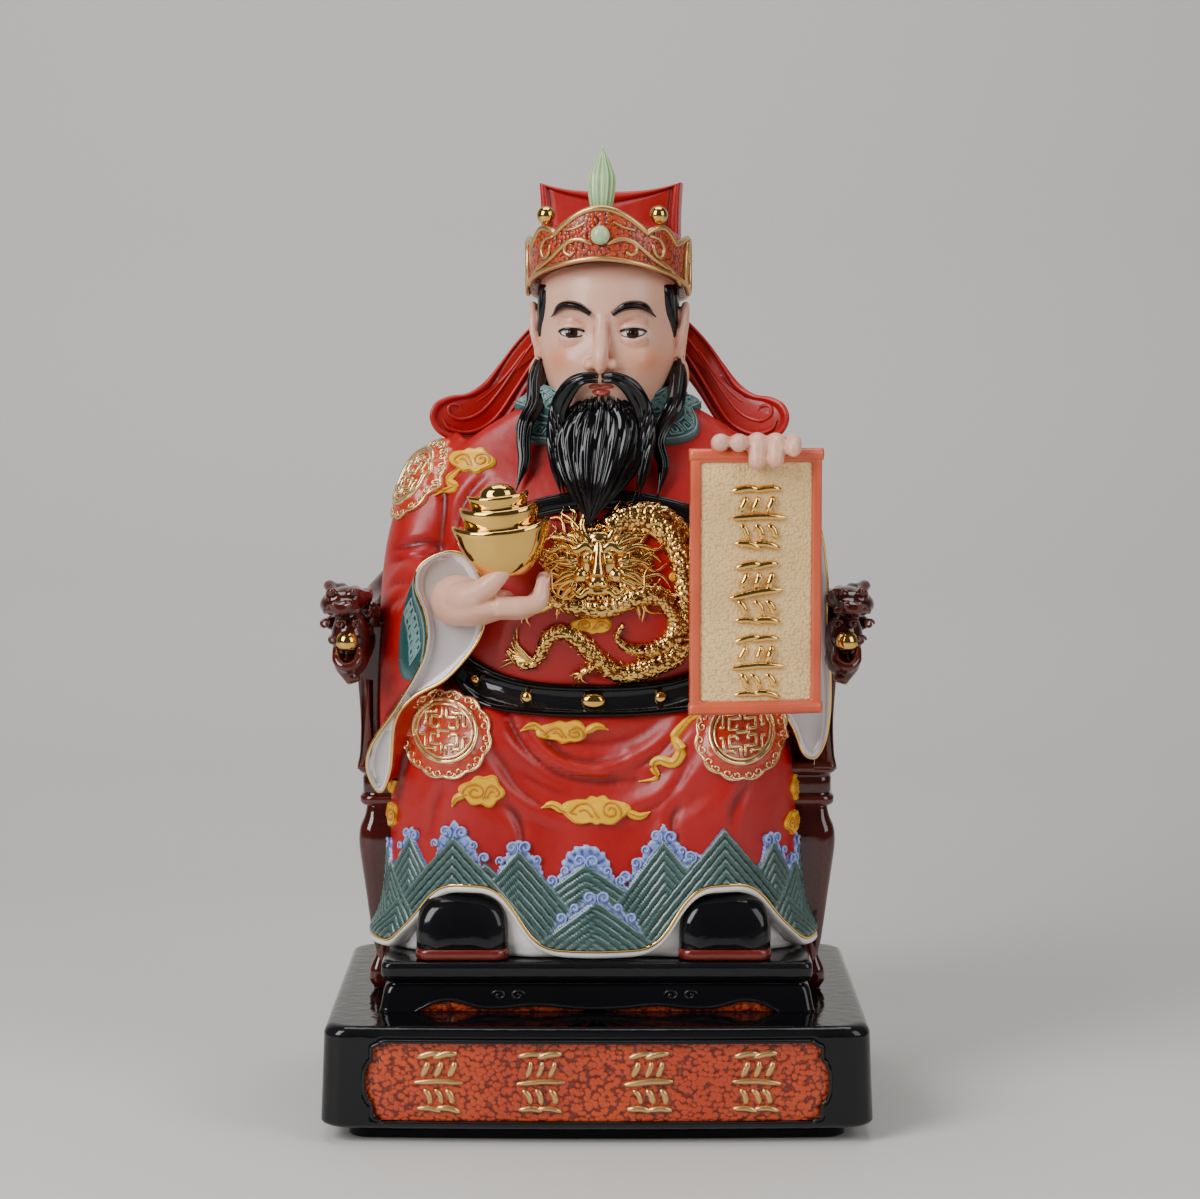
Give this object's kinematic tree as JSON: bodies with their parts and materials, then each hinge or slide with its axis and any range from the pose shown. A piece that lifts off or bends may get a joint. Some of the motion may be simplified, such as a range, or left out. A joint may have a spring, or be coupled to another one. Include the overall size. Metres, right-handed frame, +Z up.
{
  "type": "caishen figure",
  "caption": "Seated god of wealth in glazed porcelain, in an armchair on a stepped plinth, with an ingot on one palm and a hanging scroll in the other hand.",
  "frame": {"origin": "middle of the plinth's underside", "axes": "+X to the right of someone who looks the figure in the face, the figure looks along -Y, +Z up"},
  "size_m": [0.2394, 0.18, 0.4202],
  "materials": {
    "black_glaze": "glossy black glaze, with a sunk orange-red panel",
    "brown_glaze": "glossy dark red-brown glaze",
    "red_glaze": "satin red glaze with gilt, teal, white and flesh-coloured details",
    "gilt": "polished gilding over glaze",
    "cream_glaze": "matt cream field with a salmon border and gilt strokes"
  },
  "bodies": {
    "root": {"plinth": "black_glaze", "chair": "brown_glaze", "figure": "red_glaze", "ingot": "gilt", "scroll": "cream_glaze"}
  },
  "joints": []
}
